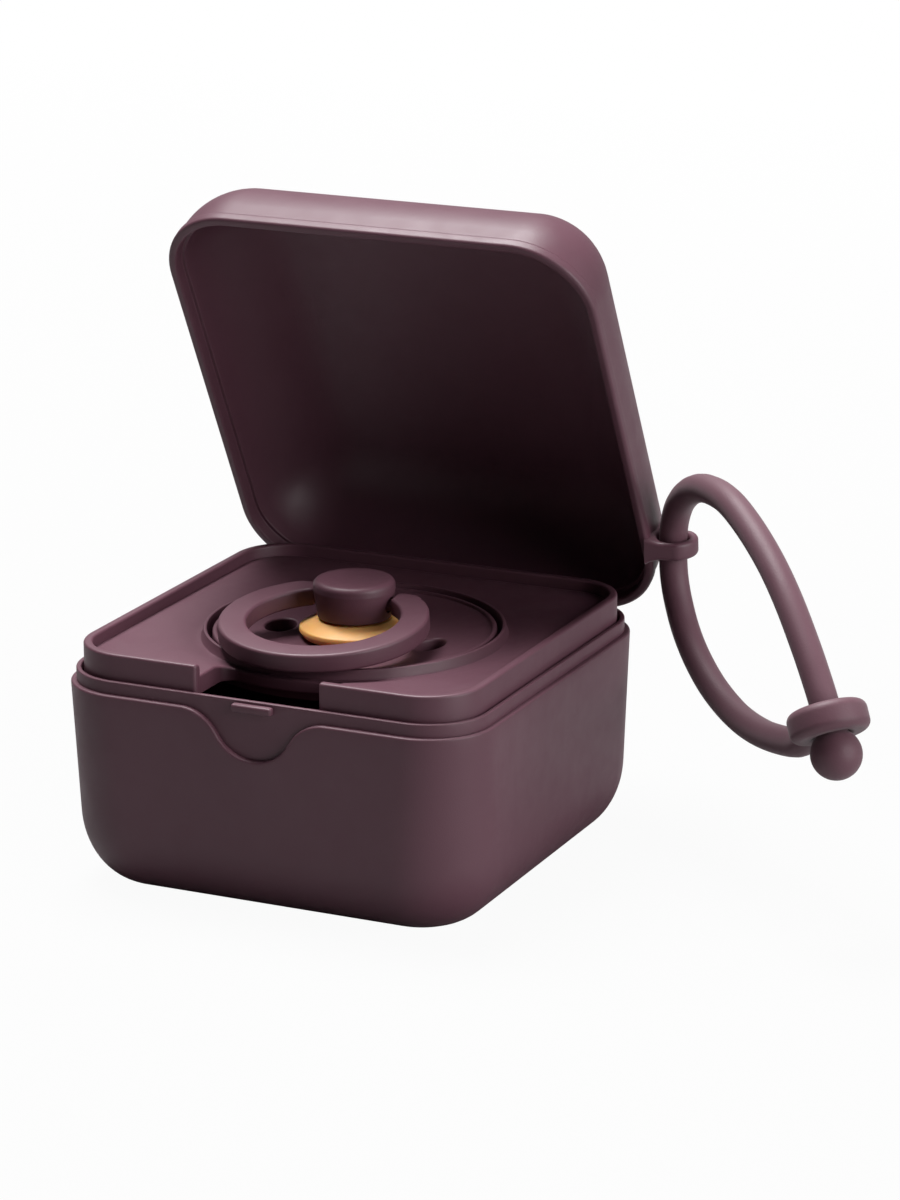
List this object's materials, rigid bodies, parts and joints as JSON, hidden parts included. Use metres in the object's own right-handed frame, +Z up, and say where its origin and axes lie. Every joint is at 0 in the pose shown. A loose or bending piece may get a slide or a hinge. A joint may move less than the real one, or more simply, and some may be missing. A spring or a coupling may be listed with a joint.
{
  "type": "pacifier steriliser case",
  "caption": "Square pocket case with a hinged lid, a lift-out tray holding a round pacifier over a water well, and a silicone carry strap.",
  "frame": {"origin": "centre of the base's flat underside", "axes": "+Z up, -Y the front with the thumb dip, +X the side of the lid that carries the strap; the lid's hinge lies along X at the back"},
  "size_m": [0.1175, 0.0799, 0.0963],
  "materials": {
    "plum_plastic": "matte moulded, dusty plum",
    "plum_silicone": "matte silicone in the case's colour",
    "natural_rubber": "amber natural rubber, slightly translucent",
    "pin_steel": "bright drawn wire"
  },
  "bodies": {
    "base": {"base": "plum_plastic", "hinge_pin": "pin_steel"},
    "lid": {"lid": "plum_plastic"},
    "tray": {"tray": "plum_plastic"},
    "pacifier": {"pacifier_shield": "plum_plastic", "nipple": "natural_rubber", "knob": "plum_plastic"},
    "handle": {"ring_handle": "plum_plastic"},
    "strap": {"strap": "plum_silicone", "strap_eyelet": "plum_silicone", "strap_ball": "plum_silicone"}
  },
  "joints": [
    {"name": "lid_hinge", "type": "hinge", "parent": "base", "child": "lid", "pos_m": [0, 0.03508, 0.03055], "axis": [-1, 0, 0], "range_deg": [-62.9, 40]},
    {"name": "tray_lift", "type": "slide", "parent": "base", "child": "tray", "axis": [0, 0, 1], "range_m": [0, 0.012]},
    {"name": "pacifier_lift", "type": "slide", "parent": "tray", "child": "pacifier", "axis": [0, 0, 1], "range_m": [0, 0.034]},
    {"name": "handle_swing", "type": "hinge", "parent": "pacifier", "child": "handle", "pos_m": [0, 0, 0.03907], "axis": [-1, 0, 0], "range_deg": [0, 165]},
    {"name": "strap_swing", "type": "hinge", "parent": "lid", "child": "strap", "pos_m": [0.0373, 0.03288, 0.04333], "axis": [0, -0.0807, 0.9967], "range_deg": [-35, 90]}
  ]
}
